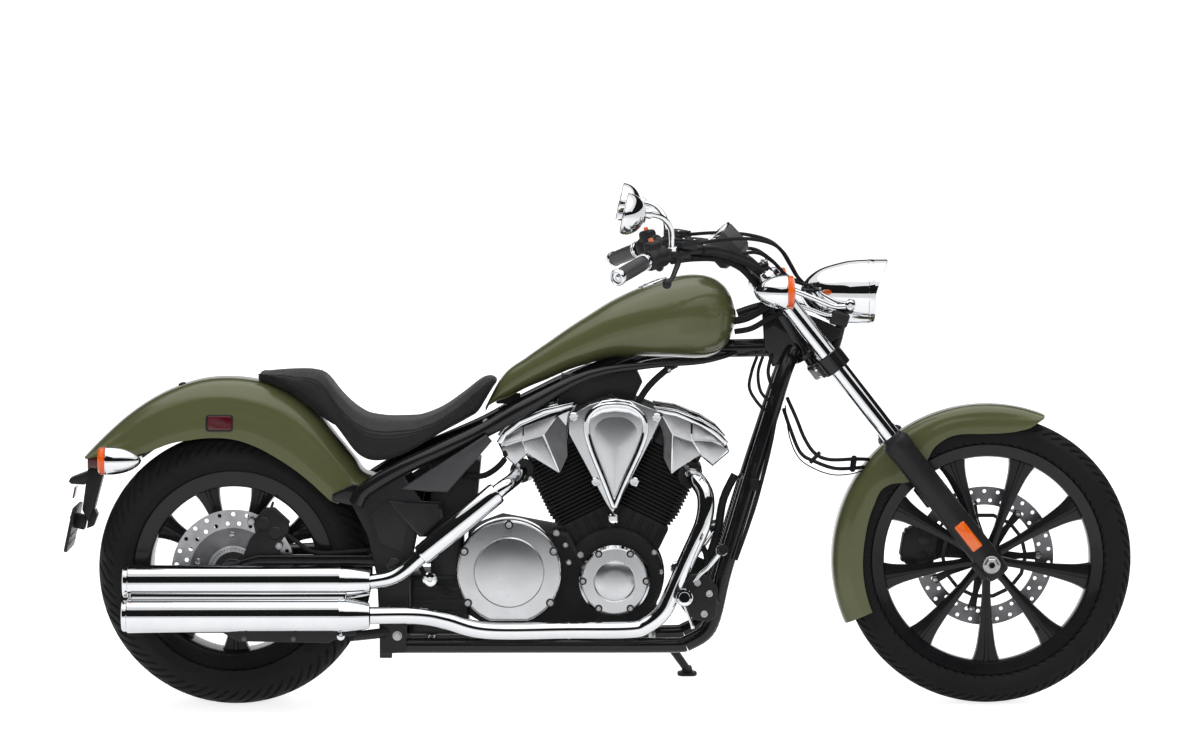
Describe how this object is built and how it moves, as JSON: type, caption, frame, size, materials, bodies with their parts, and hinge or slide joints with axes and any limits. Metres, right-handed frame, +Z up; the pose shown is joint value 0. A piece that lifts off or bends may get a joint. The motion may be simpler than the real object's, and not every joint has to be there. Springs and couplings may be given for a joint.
{
  "type": "chopper motorcycle",
  "caption": "Long, low chopper motorcycle with a V-twin engine, raked fork, cast wheels and twin chrome mufflers, leaning on its side stand.",
  "frame": {"origin": "middle of the parked machine's outline, on the ground", "axes": "+X forward, +Y to the rider's left, +Z up from the ground; the machine leans 7 degrees to the left"},
  "size_m": [2.5583, 0.9213, 1.2797],
  "materials": {
    "paint": "satin",
    "frame_black": "gloss",
    "rim_black": "gloss",
    "satin_black": "satin",
    "engine_black": "satin",
    "chrome": "polished",
    "steel": "satin",
    "tyre": "matte",
    "rubber": "matte",
    "leather": "satin",
    "red_lens": "gloss",
    "clear_glass": "gloss"
  },
  "bodies": {
    "chassis": {"frame_backbone": "frame_black", "frame_rails": "frame_black", "frame_downtubes": "frame_black", "frame_cradle": "frame_black", "frame_plates": "satin_black", "fuel_tank": "paint", "fuel_cap": "chrome", "seat": "leather", "rear_fender": "paint", "inner_mudguard": "satin_black", "side_covers": "satin_black", "tail_light": "red_lens", "plate_bracket": "satin_black", "rear_signals": "chrome", "crankcase": "engine_black", "rear_cylinder": "engine_black", "front_cylinder": "engine_black", "head_covers": "chrome", "v_covers": "chrome", "engine_covers": "chrome", "radiator": "satin_black", "front_exhaust": "chrome", "rear_exhaust": "chrome", "mufflers": "chrome", "swingarm": "frame_black", "rear_axle": "steel", "rear_caliper": "satin_black", "foot_controls": "satin_black"},
    "rear_wheel": {"rear_tyre": "tyre", "rear_rim": "rim_black", "rear_disc": "steel"},
    "steering": {"fork_clamps": "frame_black", "fork_tubes": "chrome", "fork_sliders": "satin_black", "front_axle": "steel", "front_fender": "paint", "front_caliper": "satin_black", "headlight": "chrome", "headlight_lens": "clear_glass", "handlebar": "satin_black", "grips": "rubber", "hand_controls": "satin_black", "mirrors": "chrome", "instrument": "satin_black", "front_signals": "chrome", "bar_cables": "rubber", "front_hoses": "rubber"},
    "front_wheel": {"front_tyre": "tyre", "front_rim": "rim_black", "front_disc": "steel"},
    "stand": {"side_stand": "satin_black"}
  },
  "joints": [
    {"name": "rear_wheel_spin", "type": "hinge", "parent": "chassis", "child": "rear_wheel", "pos_m": [-0.87392, -0.09095, 0.32697], "axis": [0, 0.9925, -0.1219], "continuous": true},
    {"name": "steering_head", "type": "hinge", "parent": "chassis", "child": "steering", "pos_m": [0.46085, -0.02136, 0.89377], "axis": [-0.5297, 0.1034, 0.8419], "range_deg": [-34, 34], "deforming": ["front_hoses"]},
    {"name": "front_wheel_spin", "type": "hinge", "parent": "steering", "child": "front_wheel", "pos_m": [0.93109, -0.08868, 0.34547], "axis": [0, 0.9925, -0.1219], "continuous": true},
    {"name": "side_stand_pivot", "type": "hinge", "parent": "chassis", "child": "stand", "pos_m": [0.13604, 0.06016, 0.14635], "axis": [0.1185, 0.8612, 0.4942], "range_deg": [0, 121]}
  ]
}
